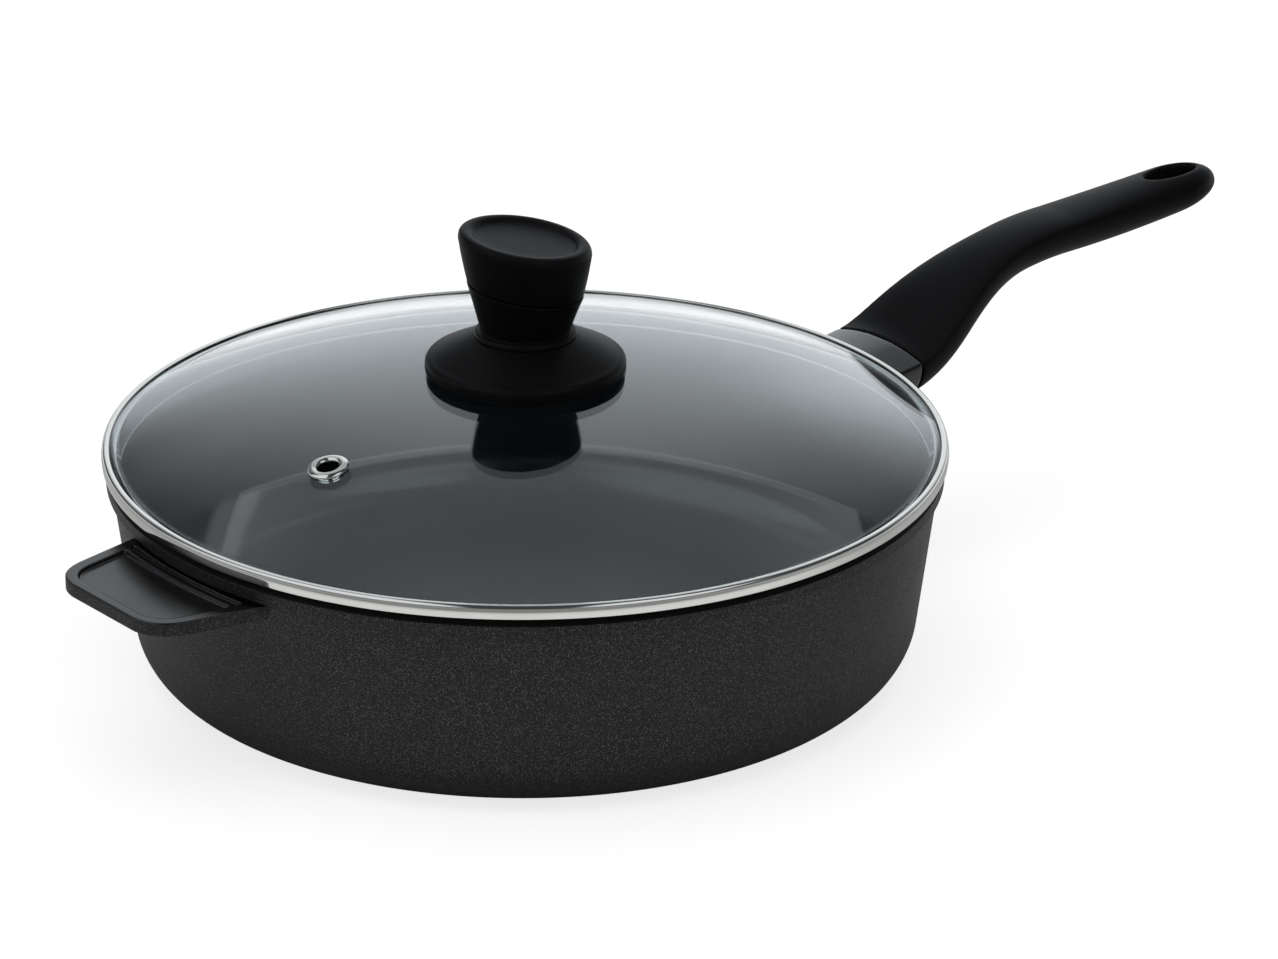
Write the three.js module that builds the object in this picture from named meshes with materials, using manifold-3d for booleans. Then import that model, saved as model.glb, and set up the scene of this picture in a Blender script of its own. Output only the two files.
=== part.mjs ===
// Deep frying pan with a glass lid. The pan is one casting with a helper tab and a boss for the long
// moulded handle. The lid is a glass dome in a rolled steel rim, with a vent eyelet and a leaning knob.
// Millimetres, +Z up. The origin is the middle of the pan's base and the long handle runs along +X.
import * as THREE from 'three';
import { mergeVertices } from 'three/addons/utils/BufferGeometryUtils.js';
import Module from 'manifold-3d';

const wasm = await Module();
wasm.setup();

// Fits and facets
const FIT = 0.3;              // gap between neighbouring pieces
const ROUND_SIDES = 64;       // facets round the pan and the lid
const KNOB_SIDES = 32;        // facets round the knob
const SMALL_SIDES = 24;       // facets round screws, washers and the eyelet
const SECTION_POINTS = 28;    // points round one section of the handle
const ARC_STEPS = 3;          // steps along a rounding of a turned profile
const RIM_ARC_STEPS = 1;      // the same for the lid's rim
const FLANGE_ARC_STEPS = 2;   // the same for the knob's flange
const KNOB_ARC_STEPS = 4;     // the same for the knob
const OUTLINE_STEPS = 8;      // steps along a curve of a flat outline
const HOLE_STEPS = 12;        // the same for the hanging hole
const WELD = 1e-4;            // corners closer than this are one corner

// Pan casting
const RIM_RADIUS = 141.8;     // outside of the wall where the lip starts
const WALL = 4;
const WALL_DRAFT = 7.1;       // lean of the wall, in degrees
const FLOOR = 5;
const BASE_FILLET = 18.4;     // outside rounding between base and wall
const FLOOR_FILLET = 15;      // inside rounding between floor and wall
const LIP_BASE = 66.3;        // height of the lip's lower edge
const LIP_HEIGHT = 7.5;
const LIP_STEP = 1.9;         // how far the lip stands out from the wall
const LIP_THICK = 4.1;
const LIP_ROUND = 2.4;        // rounding of the lip's outer top edge
const SEAT_DEPTH = 5.5;       // depth of the step in the mouth that takes the lid's skirt

// Helper tab
const TAB_REACH = 31.9;       // from the lip to the tab's outer end
const TAB_ROOT_WIDTH = 73.6;
const TAB_END_WIDTH = 56.8;
const TAB_CORNER = 13;
const TAB_DROP = 0.3;         // tab's top below the lip's lower edge
const TAB_THICK = 4.8;
const TAB_BORDER = 4;         // raised border round the tray
const TRAY_DEPTH = 1.3;
const REAR_BORDER = 0.2;      // edge of the tray along the wall, beyond the lip
const RIB_GROOVE = 0.5;       // between that edge and the rib
const RIB_WIDTH = 3.4;
const RIB_GAP = 2.2;          // notch between the rib's ends and the side borders
const RIB_BOW = 2.7;          // how far the rib falls back at its ends
const ROOT_OVERLAP = 12;      // how far tab and rib are drawn into the mouth before it is cut

// Boss and tongue that carry the long handle
const BOSS_REACH = 21.3;      // from the lip to the joint with the handle
const BOSS_PITCH = 8;         // rise of the boss, in degrees
const CREST_DROP = 2.4;       // side edge of the boss at the joint, below the lip's top
const TONGUE_LENGTH = 30;
const TONGUE_WIDTH = 22;
const TONGUE_THICK = 6;
const TONGUE_PITCH = 30;      // rise of the tongue, in degrees
const TONGUE_BELOW = 8.2;     // middle of the tongue below the side edge of the boss

// Long handle
const HANDLE_LENGTH = 167.5;  // from the joint to the tip, seen from above
const ROOT_WIDTH = 46;
const ROOT_CROWN = 3.5;       // top above the side edge at the joint
const ROOT_BELLY = 16.5;      // underside below the side edge at the joint
const ROOT_CROWN_POWER = 2;   // 1 makes an oval crown, 2 one that meets the sides at an edge
const ROOT_BELLY_POWER = 0.76; // 1 makes an oval underside, less a squarer one
const NECK_LENGTH = 88.5;     // sloping stretch, seen from above
const NECK_RISE = 29;
const NECK_LEAD = 15.8;       // stretch in which the neck keeps the slope of the boss
const NECK_TRAIL = 56.7;      // stretch in which the neck levels out
const NECK_TAPER = 63.7;      // stretch over which the neck narrows
const NECK_SWING = 0.4;       // share of the neck over which its sections turn square to the slope
const GRIP_WIDTH = 25.6;
const GRIP_CROWN = 3.4;
const GRIP_BELLY = 13;
const TIP_CROWN = 7.9;
const TIP_BELLY = 7.1;
const TIP_ROUND = 22;         // length of the rounded tip
const TIP_BLUNT = 0.08;       // share of the grip's width left at the very end
const TIP_THIN_POWER = 0.8;   // how fast the tip gets thinner as it narrows
const HOLE_LENGTH = 25;       // hanging hole
const HOLE_WIDTH = 11;
const HOLE_MARGIN = 8.7;      // from the hole to the tip
const NECK_STEPS = 12;        // sections along the neck
const GRIP_STEPS = 5;         // sections along the grip
const TIP_STEPS = 7;          // sections round the tip

// Handle screw
const SCREW_PLACE = 18;       // along the tongue
const SCREW_DIAMETER = 4;
const SCREW_HEAD_DIAMETER = 8;
const SCREW_HEAD_HEIGHT = 2.4;
const SCREW_WALL = 1.6;       // handle material between the tongue and the screw's head

// Lid
const LID_OVERHANG = 1.3;     // steel rim beyond the lip
const RIM_SHEET = 0.5;        // steel thickness
const RIM_LEG = 2.6;          // steel over the top of the glass
const RIM_SOFTNESS = 0.7;     // rounding of the rim's outer edges
const EDGE_ROLL = 70;         // how far a rounded outer edge turns in, in degrees
const SKIRT_DEPTH = 3.2;      // skirt below the rim
const GLASS = 4;
const GLASS_EDGE = 2.5;       // height of the ground edge
const DOME_RISE = 26.7;       // from the glass's upper edge to its crown
const VENT_RADIUS = 92;       // vent from the lid's axis
const VENT_ANGLE = 186.4;     // degrees from the long handle
const VENT_BORE = 7.4;
const EYELET_WALL = 0.7;
const EYELET_FLANGE = 14;
const EYELET_RISE = 1.7;      // eyelet above the glass
const EYELET_CURL = 11.5;     // curled edge under the glass
const CURL_RISE = 0.8;

// Knob
const FLANGE_DIAMETER = 68.8;
const FLANGE_EDGE = 4.5;
const FLANGE_SOFTNESS = 1.5;  // rounding of the flange's edge
const FLANGE_CONE = 8;        // rise of the flange from its edge to the stem
const FLANGE_SKIN = 2.8;
const FLANGE_LAND = 2.6;      // width of the ring that rests on the glass
const HUB_DIAMETER = 24;
const STEM_FOOT_DIAMETER = 31.6;
const BEAD_DIAMETER = 35;
const BEAD_HEIGHT = 2.2;
const STEM_TOP_DIAMETER = 39;
const STEM_HEIGHT = 16.8;     // from the flange to the parting line
const PARTING = 0.6;          // dark line between stem and cap
const CAP_FOOT_DIAMETER = 40.2;
const CAP_DIAMETER = 45.4;
const CAP_HEIGHT = 17.8;
const CAP_ROUND = 3.6;        // rounding of the cap's top edge
const DISH_DIAMETER = 36.6;
const DISH_DEPTH = 2.6;
const KNOB_LEAN = 8.4;        // tilt of the parting line and the top, in degrees
const KNOB_LEAN_ANGLE = 142;  // high side, in degrees from the long handle
const SPIGOT_DIAMETER = 24;
const SPIGOT_HEIGHT = 6;

// Knob fastening
const KNOB_SCREW_DIAMETER = 5;
const KNOB_HEAD_DIAMETER = 10;
const KNOB_HEAD_HEIGHT = 3;
const WASHER_DIAMETER = 16;
const WASHER_THICK = 1.2;
const GASKET_DIAMETER = 18;
const GASKET_THICK = 1.5;
const INSERT_DIAMETER = 9;
const INSERT_LENGTH = 11;

const radians = THREE.MathUtils.degToRad;

// Sizes that follow from the ones above
const lipRadius = RIM_RADIUS + LIP_STEP;
const lipTop = LIP_BASE + LIP_HEIGHT;
const seatRadius = lipRadius - LIP_THICK;
const jointX = lipRadius + BOSS_REACH;
const jointEdge = lipTop - CREST_DROP;
const handleStart = jointX + FIT;
const handleTip = handleStart + HANDLE_LENGTH;
const gripEdge = jointEdge + NECK_RISE;
const lidBottom = lipTop + FIT;
const lidRadius = lipRadius + LID_OVERHANG;
const glassBottom = lidBottom + RIM_SHEET + FIT;
const glassRadius = lidRadius - RIM_SHEET - FIT;
const domeRadius = (glassRadius ** 2 + DOME_RISE ** 2) / (2 * DOME_RISE);
const domeCrown = glassBottom + GLASS_EDGE + DOME_RISE;
const domeCentre = domeCrown - domeRadius;
const screwHole = KNOB_SCREW_DIAMETER / 2 + FIT;

// Height of the glass's upper face at a distance from the lid's axis
const domeTop = (radius) => domeCentre + Math.sqrt(domeRadius ** 2 - radius ** 2);

const flangeRadius = FLANGE_DIAMETER / 2;
const flangeBottom = domeTop(flangeRadius - FLANGE_LAND) + FIT;
const flangeTop = flangeBottom + FLANGE_EDGE + FLANGE_CONE;
const stemBottom = flangeTop + FIT;
const partingHeight = stemBottom + STEM_HEIGHT;
const capBottom = partingHeight + PARTING;
const capTop = capBottom + CAP_HEIGHT;

// Closed mesh with shared corners and no collapsed triangles
function weld(geometry) {
  geometry.deleteAttribute('normal');
  geometry.deleteAttribute('uv');
  const welded = mergeVertices(geometry, WELD);
  const corners = welded.index.array;
  const kept = [];
  for (let i = 0; i < corners.length; i += 3) {
    const [a, b, c] = corners.slice(i, i + 3);
    if (a !== b && b !== c && c !== a) kept.push(a, b, c);
  }
  welded.setIndex(kept);
  return welded;
}

function solid(geometry) {
  const welded = weld(geometry);
  return new wasm.Manifold(new wasm.Mesh({
    numProp: 3,
    vertProperties: new Float32Array(welded.attributes.position.array),
    triVerts: new Uint32Array(welded.index.array),
  }));
}

function geometryOf(manifold) {
  const mesh = manifold.getMesh();
  const geometry = new THREE.BufferGeometry();
  geometry.setAttribute('position', new THREE.BufferAttribute(new Float32Array(mesh.vertProperties), 3));
  geometry.setIndex(new THREE.BufferAttribute(new Uint32Array(mesh.triVerts), 1));
  return geometry;
}

// Profile of radius and height turned about the Z axis
function turned(path, sides, arcSteps = ARC_STEPS) {
  return new THREE.LatheGeometry(path.getPoints(arcSteps), sides).rotateX(Math.PI / 2);
}

function ring(inner, outer, bottom, top, sides) {
  const path = new THREE.Path();
  path.moveTo(inner, bottom);
  path.lineTo(outer, bottom);
  path.lineTo(outer, top);
  path.lineTo(inner, top);
  path.lineTo(inner, bottom);
  return turned(path, sides);
}

function rod(radius, bottom, top) {
  const length = top - bottom;
  return new THREE.CylinderGeometry(radius, radius, length, SMALL_SIDES)
    .rotateX(Math.PI / 2)
    .translate(0, 0, bottom + length / 2);
}

// Flat outline raised between two heights
function raised(shape, bottom, top, curveSegments = OUTLINE_STEPS) {
  return new THREE.ExtrudeGeometry(shape, { depth: top - bottom, bevelEnabled: false, curveSegments })
    .translate(0, 0, bottom);
}

// Closed skin over rings of points, each ring closed by a fan at the two ends
function loft(rings) {
  const count = rings[0].length;
  const positions = rings.flat().flatMap((point) => point.toArray());
  const faces = [];
  for (let row = 0; row + 1 < rings.length; row += 1) {
    for (let i = 0; i < count; i += 1) {
      const next = (i + 1) % count;
      const a = row * count + i;
      const b = row * count + next;
      faces.push(a, b, a + count, b, b + count, a + count);
    }
  }
  const ends = [rings[0], rings[rings.length - 1]];
  ends.forEach((end, side) => {
    const centre = end.reduce((sum, point) => sum.add(point), new THREE.Vector3()).divideScalar(count);
    const middle = positions.length / 3;
    const first = side === 0 ? 0 : (rings.length - 1) * count;
    positions.push(...centre.toArray());
    for (let i = 0; i < count; i += 1) {
      const a = first + i;
      const b = first + (i + 1) % count;
      faces.push(...(side === 0 ? [middle, b, a] : [middle, a, b]));
    }
  });
  const geometry = new THREE.BufferGeometry();
  geometry.setAttribute('position', new THREE.Float32BufferAttribute(positions, 3));
  geometry.setIndex(faces);
  return geometry;
}

// Section of the boss and the handle across X: a low crown over a deeper belly, which meet at two side
// edges. With softness 0 the crown meets the sides at a clear edge, with 1 the section is a rounded oval.
function boatSection(x, edge, halfWidth, crown, belly, softness, tilt) {
  const crownPower = THREE.MathUtils.lerp(ROOT_CROWN_POWER, 1, softness);
  const bellyPower = THREE.MathUtils.lerp(ROOT_BELLY_POWER, 1, softness);
  const points = [];
  for (let i = 0; i < SECTION_POINTS; i += 1) {
    const angle = 2 * Math.PI * i / SECTION_POINTS;
    const across = Math.cos(angle);
    const up = Math.sin(angle);
    const side = up >= 0 ? across : Math.sign(across) * Math.abs(across) ** bellyPower;
    const height = up >= 0 ? crown * up ** crownPower : -belly * Math.abs(up) ** bellyPower;
    points.push(new THREE.Vector3(
      x - height * Math.sin(tilt),
      side * halfWidth,
      edge + height * Math.cos(tilt),
    ));
  }
  return points;
}

// Pan casting
function panOutside() {
  const draft = radians(WALL_DRAFT);
  const wallAtFillet = RIM_RADIUS - (LIP_BASE - BASE_FILLET) * Math.tan(draft);
  const filletCentre = wallAtFillet - BASE_FILLET / Math.cos(draft);
  const path = new THREE.Path();
  path.moveTo(0, 0);
  path.lineTo(filletCentre, 0);
  path.absarc(filletCentre, BASE_FILLET, BASE_FILLET, -Math.PI / 2, -draft, false);
  path.lineTo(RIM_RADIUS, LIP_BASE);
  path.lineTo(lipRadius, LIP_BASE + LIP_STEP / 2);
  path.absarc(lipRadius - LIP_ROUND, lipTop - LIP_ROUND, LIP_ROUND, 0, Math.PI / 2, false);
  path.lineTo(0, lipTop);
  return turned(path, ROUND_SIDES);
}

function panCavity() {
  const draft = radians(WALL_DRAFT);
  const ledge = lipTop - SEAT_DEPTH;
  const wallInside = (height) => RIM_RADIUS - (LIP_BASE - height) * Math.tan(draft) - WALL / Math.cos(draft);
  const filletHeight = FLOOR + FLOOR_FILLET;
  const filletCentre = wallInside(filletHeight) - FLOOR_FILLET / Math.cos(draft);
  const path = new THREE.Path();
  path.moveTo(0, FLOOR);
  path.lineTo(filletCentre, FLOOR);
  path.absarc(filletCentre, filletHeight, FLOOR_FILLET, -Math.PI / 2, -draft, false);
  path.lineTo(wallInside(ledge), ledge);
  path.lineTo(seatRadius, ledge + LIP_STEP / 2);
  path.lineTo(seatRadius, lipTop + LIP_STEP);
  path.lineTo(0, lipTop + LIP_STEP);
  return turned(path, ROUND_SIDES);
}

// Tab seen from above, drawn in by an inset on its three free sides. It runs on into the mouth, which is
// cut out later, so that it meets the round wall over its whole width.
function tabOutline(inset) {
  const rootX = -RIM_RADIUS + WALL;
  const buriedX = rootX + ROOT_OVERLAP;
  const endX = -lipRadius - TAB_REACH + inset;
  const root = TAB_ROOT_WIDTH / 2 - inset;
  const end = TAB_END_WIDTH / 2 - inset;
  const corner = TAB_CORNER - inset;
  const slope = (root - end) / (rootX - endX);
  const shape = new THREE.Shape();
  shape.moveTo(buriedX, root);
  shape.lineTo(rootX, root);
  shape.lineTo(endX + corner, end + slope * corner);
  shape.quadraticCurveTo(endX, end, endX, end - corner);
  shape.lineTo(endX, corner - end);
  shape.quadraticCurveTo(endX, -end, endX + corner, -end - slope * corner);
  shape.lineTo(rootX, -root);
  shape.lineTo(buriedX, -root);
  shape.closePath();
  return shape;
}

// Strip along the wall seen from above, out to a bowed face that stands a distance off the lip
function wallStrip(standOff, halfWidth) {
  const rootX = -RIM_RADIUS + WALL + ROOT_OVERLAP;
  const middleX = -lipRadius - standOff;
  const endX = middleX + RIB_BOW * (halfWidth / (TAB_ROOT_WIDTH / 2)) ** 2;
  const shape = new THREE.Shape();
  shape.moveTo(rootX, halfWidth);
  shape.lineTo(endX, halfWidth);
  shape.quadraticCurveTo(2 * middleX - endX, 0, endX, -halfWidth);
  shape.lineTo(rootX, -halfWidth);
  shape.closePath();
  return shape;
}

// Disc just behind the lip's face, in which the tab's root rises to the lip
function underLip() {
  const radius = lipRadius - REAR_BORDER;
  const path = new THREE.Path();
  path.moveTo(0, 0);
  path.lineTo(radius, 0);
  path.lineTo(radius, lipTop);
  path.lineTo(0, lipTop);
  return turned(path, ROUND_SIDES);
}

function helperTab() {
  const top = LIP_BASE - TAB_DROP;
  const bottom = top - TAB_THICK;
  const cutTop = top + TRAY_DEPTH;
  const trayFloor = top - TRAY_DEPTH;
  const grooveFace = REAR_BORDER + RIB_GROOVE;
  const ribFace = grooveFace + RIB_WIDTH;
  const tabHalfWidth = TAB_ROOT_WIDTH / 2;
  const ribHalfWidth = tabHalfWidth - TAB_BORDER - RIB_GAP;
  const strip = (standOff, halfWidth, from, to) => solid(raised(wallStrip(standOff, halfWidth), from, to));
  const groove = strip(grooveFace, tabHalfWidth, trayFloor, cutTop);
  const rib = strip(ribFace, ribHalfWidth, trayFloor, cutTop).subtract(groove);
  const border = strip(REAR_BORDER, tabHalfWidth, trayFloor, cutTop);
  const root = solid(raised(tabOutline(0), bottom, LIP_BASE + LIP_STEP / 2)).intersect(solid(underLip()));
  const tray = solid(raised(tabOutline(TAB_BORDER), trayFloor, cutTop)).subtract(rib).subtract(border);
  return solid(raised(tabOutline(0), bottom, top)).subtract(tray).add(root);
}

function handleBoss() {
  const start = RIM_RADIUS - WALL;
  const edgeAt = (x) => jointEdge - (jointX - x) * Math.tan(radians(BOSS_PITCH));
  const rings = [start, jointX].map((x) => (
    boatSection(x, edgeAt(x), ROOT_WIDTH / 2, ROOT_CROWN, ROOT_BELLY, 0, 0)));
  return solid(loft(rings));
}

// Places a shape drawn along the tongue: X along it, Z across its thickness
function alongTongue(geometry) {
  return geometry
    .rotateY(-radians(TONGUE_PITCH))
    .translate(jointX, 0, jointEdge - TONGUE_BELOW);
}

function tongueBlock(clearance) {
  const root = TONGUE_THICK;
  const length = TONGUE_LENGTH + clearance + root;
  const block = new THREE.BoxGeometry(length, TONGUE_WIDTH + 2 * clearance, TONGUE_THICK + 2 * clearance);
  return solid(alongTongue(block.translate(length / 2 - root, 0, 0)));
}

function acrossTongue(radius, bottom, top) {
  return solid(alongTongue(rod(radius, bottom, top).translate(SCREW_PLACE, 0, 0)));
}

function panBody() {
  const screwBore = acrossTongue(SCREW_DIAMETER / 2 + FIT, -TONGUE_THICK, TONGUE_THICK);
  return solid(panOutside())
    .add(handleBoss())
    .add(tongueBlock(0).subtract(screwBore))
    .add(helperTab())
    .subtract(solid(panCavity()));
}

// Long handle
function handleSections() {
  const neckEnd = handleStart + NECK_LENGTH;
  const neck = new THREE.CubicBezierCurve(
    new THREE.Vector2(handleStart, jointEdge),
    new THREE.Vector2(handleStart + NECK_LEAD, jointEdge + NECK_LEAD * Math.tan(radians(BOSS_PITCH))),
    new THREE.Vector2(neckEnd - NECK_TRAIL, gripEdge),
    new THREE.Vector2(neckEnd, gripEdge),
  );
  const rings = [];
  for (let step = 0; step < NECK_STEPS; step += 1) {
    const along = step / NECK_STEPS;
    const place = neck.getPoint(along);
    const slope = neck.getTangent(along).angle();
    const taper = THREE.MathUtils.smoothstep(place.x, handleStart, handleStart + NECK_TAPER);
    rings.push(boatSection(
      place.x,
      place.y,
      THREE.MathUtils.lerp(ROOT_WIDTH, GRIP_WIDTH, taper) / 2,
      THREE.MathUtils.lerp(ROOT_CROWN, GRIP_CROWN, taper),
      THREE.MathUtils.lerp(ROOT_BELLY, GRIP_BELLY, taper),
      taper,
      slope * THREE.MathUtils.smoothstep(along, 0, NECK_SWING),
    ));
  }
  const tipStart = handleTip - TIP_ROUND;
  for (let step = 0; step <= GRIP_STEPS + TIP_STEPS; step += 1) {
    const turn = Math.max(0, step - GRIP_STEPS) / TIP_STEPS * Math.PI / 2;
    const straight = Math.min(step, GRIP_STEPS) / GRIP_STEPS;
    const x = THREE.MathUtils.lerp(neckEnd, tipStart, straight) + TIP_ROUND * Math.sin(turn);
    const along = (x - neckEnd) / (handleTip - neckEnd);
    const narrowing = Math.max(TIP_BLUNT, Math.cos(turn));
    const thinning = narrowing ** TIP_THIN_POWER;
    rings.push(boatSection(
      x,
      gripEdge,
      GRIP_WIDTH / 2 * narrowing,
      THREE.MathUtils.lerp(GRIP_CROWN, TIP_CROWN, along) * thinning,
      THREE.MathUtils.lerp(GRIP_BELLY, TIP_BELLY, along ** 2) * thinning,
      1,
      0,
    ));
  }
  return rings;
}

function hangingHole() {
  const middle = handleTip - HOLE_MARGIN - HOLE_LENGTH / 2;
  const outline = new THREE.Shape();
  outline.absellipse(middle, 0, HOLE_LENGTH / 2, HOLE_WIDTH / 2, 0, 2 * Math.PI, false, 0);
  const reach = GRIP_BELLY + TIP_CROWN;
  return solid(raised(outline, gripEdge - reach, gripEdge + reach, HOLE_STEPS));
}

function longHandle() {
  const headSeat = -TONGUE_THICK / 2 - FIT - SCREW_WALL;
  const shankHole = acrossTongue(SCREW_DIAMETER / 2 + FIT, headSeat - SCREW_HEAD_HEIGHT, 0);
  const headHole = acrossTongue(SCREW_HEAD_DIAMETER / 2 + FIT, headSeat - ROOT_BELLY, headSeat);
  return solid(loft(handleSections()))
    .subtract(hangingHole())
    .subtract(tongueBlock(FIT))
    .subtract(shankHole)
    .subtract(headHole);
}

function handleScrew() {
  const headTop = -TONGUE_THICK / 2 - 2 * FIT - SCREW_WALL;
  const head = acrossTongue(SCREW_HEAD_DIAMETER / 2, headTop - SCREW_HEAD_HEIGHT, headTop);
  const shank = acrossTongue(SCREW_DIAMETER / 2, headTop - SCREW_HEAD_HEIGHT / 2, TONGUE_THICK / 2 - FIT);
  return head.add(shank);
}

// Lid
function lidGlass() {
  const underside = domeRadius - GLASS;
  const edgeTop = glassBottom + GLASS_EDGE;
  const flatStart = Math.sqrt(underside ** 2 - (glassBottom - domeCentre) ** 2);
  const rise = (radius, sphere) => Math.acos(radius / sphere);
  const path = new THREE.Path();
  path.moveTo(screwHole, domeCentre + Math.sqrt(underside ** 2 - screwHole ** 2));
  path.absarc(0, domeCentre, underside, rise(screwHole, underside), rise(flatStart, underside), true);
  path.lineTo(glassRadius, glassBottom);
  path.lineTo(glassRadius, edgeTop);
  path.absarc(0, domeCentre, domeRadius, rise(glassRadius, domeRadius), rise(screwHole, domeRadius), false);
  path.closePath();
  const bore = rod(VENT_BORE / 2 + EYELET_WALL + FIT, -2 * GLASS, GLASS);
  return solid(turned(path, ROUND_SIDES)).subtract(solid(atVent(bore)));
}

// Stands a shape drawn about Z on the glass at the vent, square to the dome
function atVent(geometry) {
  return geometry
    .translate(0, 0, domeRadius)
    .rotateY(Math.asin(VENT_RADIUS / domeRadius))
    .rotateZ(radians(VENT_ANGLE))
    .translate(0, 0, domeCentre);
}

function lidRim() {
  const legInner = lidRadius - RIM_LEG;
  const channel = lidRadius - RIM_SHEET;
  const skirtOuter = seatRadius - FIT - RIM_SHEET / 2;
  const skirtInner = skirtOuter - RIM_SHEET;
  const skirtBottom = lidBottom - SKIRT_DEPTH;
  const legTop = domeTop(legInner) + FIT + RIM_SHEET;
  const shoulder = domeTop(channel) + FIT + RIM_SHEET / 2;
  const path = new THREE.Path();
  path.moveTo(skirtInner, skirtBottom);
  path.lineTo(skirtOuter, skirtBottom);
  path.lineTo(skirtOuter, lidBottom);
  const edge = lidRadius - RIM_SOFTNESS;
  const upperRound = shoulder - RIM_SOFTNESS / 2;
  path.absarc(edge, lidBottom + RIM_SOFTNESS, RIM_SOFTNESS, -Math.PI / 2, 0, false);
  path.absarc(edge, upperRound, RIM_SOFTNESS, 0, radians(EDGE_ROLL), false);
  path.lineTo(legInner, legTop);
  path.lineTo(legInner, domeTop(legInner) + FIT);
  path.lineTo(channel, domeTop(channel) + FIT);
  path.lineTo(channel, lidBottom + RIM_SHEET);
  path.lineTo(skirtInner, lidBottom + RIM_SHEET);
  path.closePath();
  return turned(path, ROUND_SIDES, RIM_ARC_STEPS);
}

function ventEyelet() {
  const bore = VENT_BORE / 2;
  const barrel = bore + EYELET_WALL;
  const flange = EYELET_FLANGE / 2;
  const under = -GLASS - FIT;
  const crown = FIT + EYELET_RISE;
  const middle = (bore + flange) / 2;
  const path = new THREE.Path();
  path.moveTo(bore, under - CURL_RISE);
  path.lineTo(EYELET_CURL / 2, under - CURL_RISE);
  path.lineTo(EYELET_CURL / 2, under);
  path.lineTo(barrel, under);
  path.lineTo(barrel, FIT);
  path.lineTo(flange, FIT);
  path.quadraticCurveTo(flange, crown, middle, crown);
  path.quadraticCurveTo(bore, crown, bore, FIT);
  path.closePath();
  return atVent(turned(path, SMALL_SIDES));
}

// Knob
// Leans the rings of a turned shape: level at the foot, fully tilted from the parting line upwards
function leaned(geometry) {
  const slope = Math.tan(radians(KNOB_LEAN));
  const high = radians(KNOB_LEAN_ANGLE);
  const place = geometry.attributes.position;
  for (let i = 0; i < place.count; i += 1) {
    const height = place.getZ(i);
    const climbed = (height - stemBottom - BEAD_HEIGHT) / (STEM_HEIGHT - BEAD_HEIGHT);
    const share = THREE.MathUtils.clamp(climbed, 0, 1);
    const outward = place.getX(i) * Math.cos(high) + place.getY(i) * Math.sin(high);
    place.setZ(i, height + slope * share * outward);
  }
  return geometry;
}

function knobFlange() {
  const hub = HUB_DIAMETER / 2;
  const bead = BEAD_DIAMETER / 2;
  const land = flangeRadius - FLANGE_LAND;
  const edgeTop = flangeBottom + FLANGE_EDGE;
  const ceiling = flangeTop - FLANGE_SKIN;
  const path = new THREE.Path();
  path.moveTo(screwHole, domeCrown + FIT);
  path.lineTo(hub, domeCrown + FIT);
  path.lineTo(hub, ceiling);
  path.lineTo(land - FLANGE_SOFTNESS, edgeTop - FLANGE_SKIN);
  path.lineTo(land, flangeBottom);
  const soft = FLANGE_SOFTNESS;
  path.absarc(flangeRadius - soft, flangeBottom + soft, soft, -Math.PI / 2, 0, false);
  path.absarc(flangeRadius - soft, edgeTop - soft, soft, 0, radians(EDGE_ROLL), false);
  path.quadraticCurveTo((flangeRadius + bead) / 2, edgeTop + FLANGE_CONE / 2, bead, flangeTop);
  path.lineTo(screwHole, flangeTop);
  path.closePath();
  return turned(path, KNOB_SIDES, FLANGE_ARC_STEPS);
}

function knobStem() {
  const foot = STEM_FOOT_DIAMETER / 2;
  const bead = BEAD_DIAMETER / 2;
  const top = STEM_TOP_DIAMETER / 2;
  const beadRound = BEAD_HEIGHT / 2;
  const beadTop = stemBottom + BEAD_HEIGHT;
  const insertBore = rod(INSERT_DIAMETER / 2 + FIT, stemBottom - FIT, stemBottom + INSERT_LENGTH + FIT);
  const path = new THREE.Path();
  path.moveTo(0, stemBottom);
  path.lineTo(bead - beadRound, stemBottom);
  path.absarc(bead - beadRound, stemBottom + beadRound, beadRound, -Math.PI / 2, Math.PI / 2, false);
  path.lineTo(foot, beadTop);
  path.quadraticCurveTo(foot + (top - foot) / 2, (beadTop + partingHeight) / 2, top, partingHeight);
  path.lineTo(SPIGOT_DIAMETER / 2, partingHeight);
  path.lineTo(SPIGOT_DIAMETER / 2, partingHeight + SPIGOT_HEIGHT);
  path.lineTo(0, partingHeight + SPIGOT_HEIGHT);
  return solid(leaned(turned(path, KNOB_SIDES, KNOB_ARC_STEPS))).subtract(solid(insertBore));
}

function knobCap() {
  const pocket = SPIGOT_DIAMETER / 2 + FIT;
  const pocketTop = partingHeight + SPIGOT_HEIGHT + FIT;
  const foot = CAP_FOOT_DIAMETER / 2;
  const widest = CAP_DIAMETER / 2;
  const dish = DISH_DIAMETER / 2;
  const shoulder = capTop - CAP_ROUND;
  const path = new THREE.Path();
  path.moveTo(0, pocketTop);
  path.lineTo(pocket, pocketTop);
  path.lineTo(pocket, capBottom);
  path.lineTo(foot, capBottom);
  path.quadraticCurveTo(widest, (capBottom + shoulder) / 2, widest, shoulder);
  path.quadraticCurveTo(widest, capTop, widest - CAP_ROUND, capTop);
  path.lineTo(dish, capTop);
  path.quadraticCurveTo(dish / 2, capTop - DISH_DEPTH, 0, capTop - DISH_DEPTH);
  return leaned(turned(path, KNOB_SIDES, KNOB_ARC_STEPS));
}

function knobInsert() {
  const bore = KNOB_SCREW_DIAMETER / 2 + FIT;
  return ring(bore, INSERT_DIAMETER / 2, stemBottom, stemBottom + INSERT_LENGTH, SMALL_SIDES);
}

const gasketTop = domeCrown - GLASS - FIT;
const washerTop = gasketTop - GASKET_THICK;
const headTop = washerTop - WASHER_THICK;

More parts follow.
